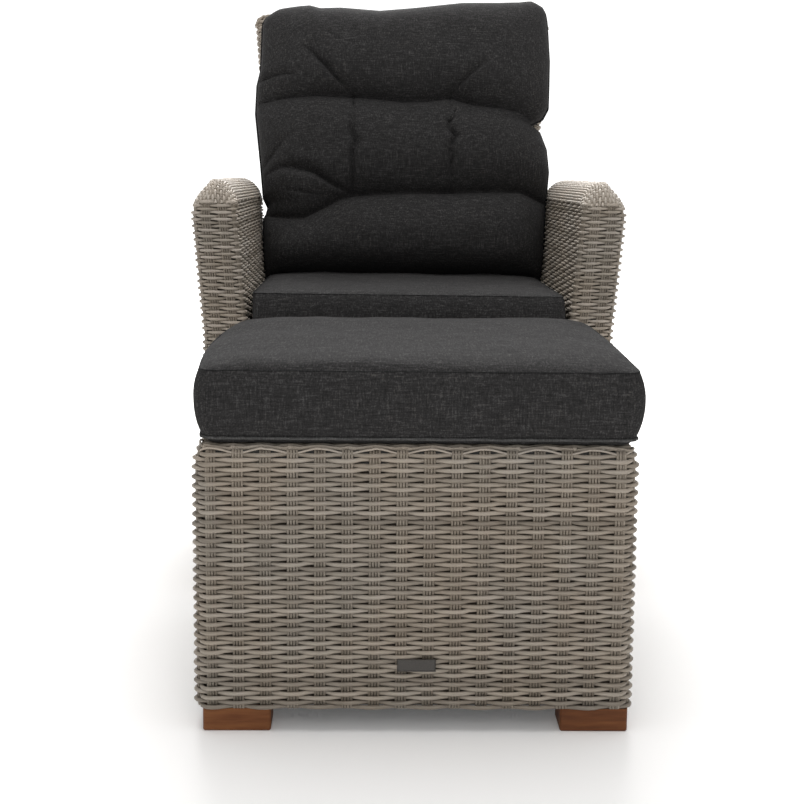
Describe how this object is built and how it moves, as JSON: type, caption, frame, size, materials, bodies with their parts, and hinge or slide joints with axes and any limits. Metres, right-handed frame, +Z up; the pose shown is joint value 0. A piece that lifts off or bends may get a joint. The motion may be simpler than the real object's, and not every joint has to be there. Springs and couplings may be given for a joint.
{
  "type": "reclining garden armchair",
  "caption": "Woven reclining garden armchair with cushions, a gas-spring back released by a side handle, and a matching cushioned footstool on block feet.",
  "frame": {"origin": "on the floor, below the middle of the whole set's box at rest", "axes": "+Z up, +Y from the footstool to the chair's back, +X to the right seen from the front"},
  "size_m": [0.6899, 1.3723, 0.98],
  "materials": {
    "weave": "matte",
    "tube": "satin",
    "teak": "satin",
    "cushion_cloth": "matte",
    "coated_steel": "satin",
    "zinc_steel": "satin",
    "bright_rod": "polished",
    "nylon": "matte",
    "grip_rubber": "matte"
  },
  "bodies": {
    "base": {"left_arm_skin": "weave", "right_arm_skin": "weave", "left_arm_frame": "tube", "right_arm_frame": "tube", "seat_frame": "tube", "front_lower_rail": "tube", "rear_lower_rail": "tube", "seat_deck": "weave", "front_apron": "weave", "rear_apron": "weave", "frame_bolts": "zinc_steel", "frame_nuts": "zinc_steel", "chair_foot_front_left": "teak", "chair_foot_rear_left": "teak", "chair_foot_front_right": "teak", "chair_foot_rear_right": "teak", "chair_foot_screws": "zinc_steel", "seat_cushion": "cushion_cloth", "left_hinge_bracket": "coated_steel", "right_hinge_bracket": "coated_steel", "left_hinge_bolt": "zinc_steel", "right_hinge_bolt": "zinc_steel", "left_hinge_nut": "zinc_steel", "right_hinge_nut": "zinc_steel", "rod_bracket": "coated_steel", "rod_pivot_pin": "zinc_steel", "rod_pivot_nut": "zinc_steel", "shaft_bushes": "nylon"},
    "back": {"back_skin": "weave", "back_frame": "tube", "back_cushion": "cushion_cloth", "left_hinge_arm": "coated_steel", "right_hinge_arm": "coated_steel", "hinge_bushes": "nylon", "lever_fork": "coated_steel", "lever_pin": "zinc_steel", "lever_pin_nut": "zinc_steel"},
    "gas_spring_tube": {"gas_cylinder": "coated_steel"},
    "gas_spring_rod": {"gas_rod": "bright_rod", "gas_piston": "nylon", "release_head": "zinc_steel"},
    "release_plunger": {"release_pin": "zinc_steel"},
    "release_handle": {"release_shaft": "zinc_steel", "handle_lever": "coated_steel", "handle_grip": "grip_rubber"},
    "footstool": {"stool_skin": "weave", "stool_deck": "weave", "stool_frame": "tube", "stool_cushion": "cushion_cloth", "stool_foot_front_left": "teak", "stool_foot_rear_left": "teak", "stool_foot_front_right": "teak", "stool_foot_rear_right": "teak", "stool_foot_screws": "zinc_steel"}
  },
  "joints": [
    {"name": "back_recline", "type": "hinge", "parent": "base", "child": "back", "pos_m": [0, 0.50504, 0.4], "axis": [-1, 0, 0], "range_deg": [0, 38]},
    {"name": "cylinder_pivot", "type": "hinge", "parent": "back", "child": "gas_spring_tube", "pos_m": [0, 0.52946, 0.32909], "axis": [1, 0, 0], "range_deg": [0, 38]},
    {"name": "rod_slide", "type": "slide", "parent": "gas_spring_tube", "child": "gas_spring_rod", "axis": [0, 1, 0], "range_m": [0, 0.04885]},
    {"name": "release_turn", "type": "hinge", "parent": "base", "child": "release_handle", "pos_m": [0, 0.26136, 0.30509], "axis": [-1, 0, 0], "range_deg": [0, 12], "stiffness_Nm_per_rad": 1.5, "springref_deg": -8.59},
    {"name": "release_pin_slide", "type": "slide", "parent": "gas_spring_rod", "child": "release_plunger", "axis": [0, 1, 0], "range_m": [0, 0.00515]},
    {"name": "stool_slide", "type": "slide", "parent": "base", "child": "footstool", "axis": [0, -1, 0], "range_m": [-0.09, 0.4]}
  ],
  "couplings": [
    {"joint": "cylinder_pivot", "follows": "back_recline", "ratio": 1},
    {"joint": "rod_slide", "follows": "back_recline", "m_per_rad": 0.073633},
    {"joint": "release_pin_slide", "follows": "release_turn", "m_per_rad": 0.024357}
  ]
}
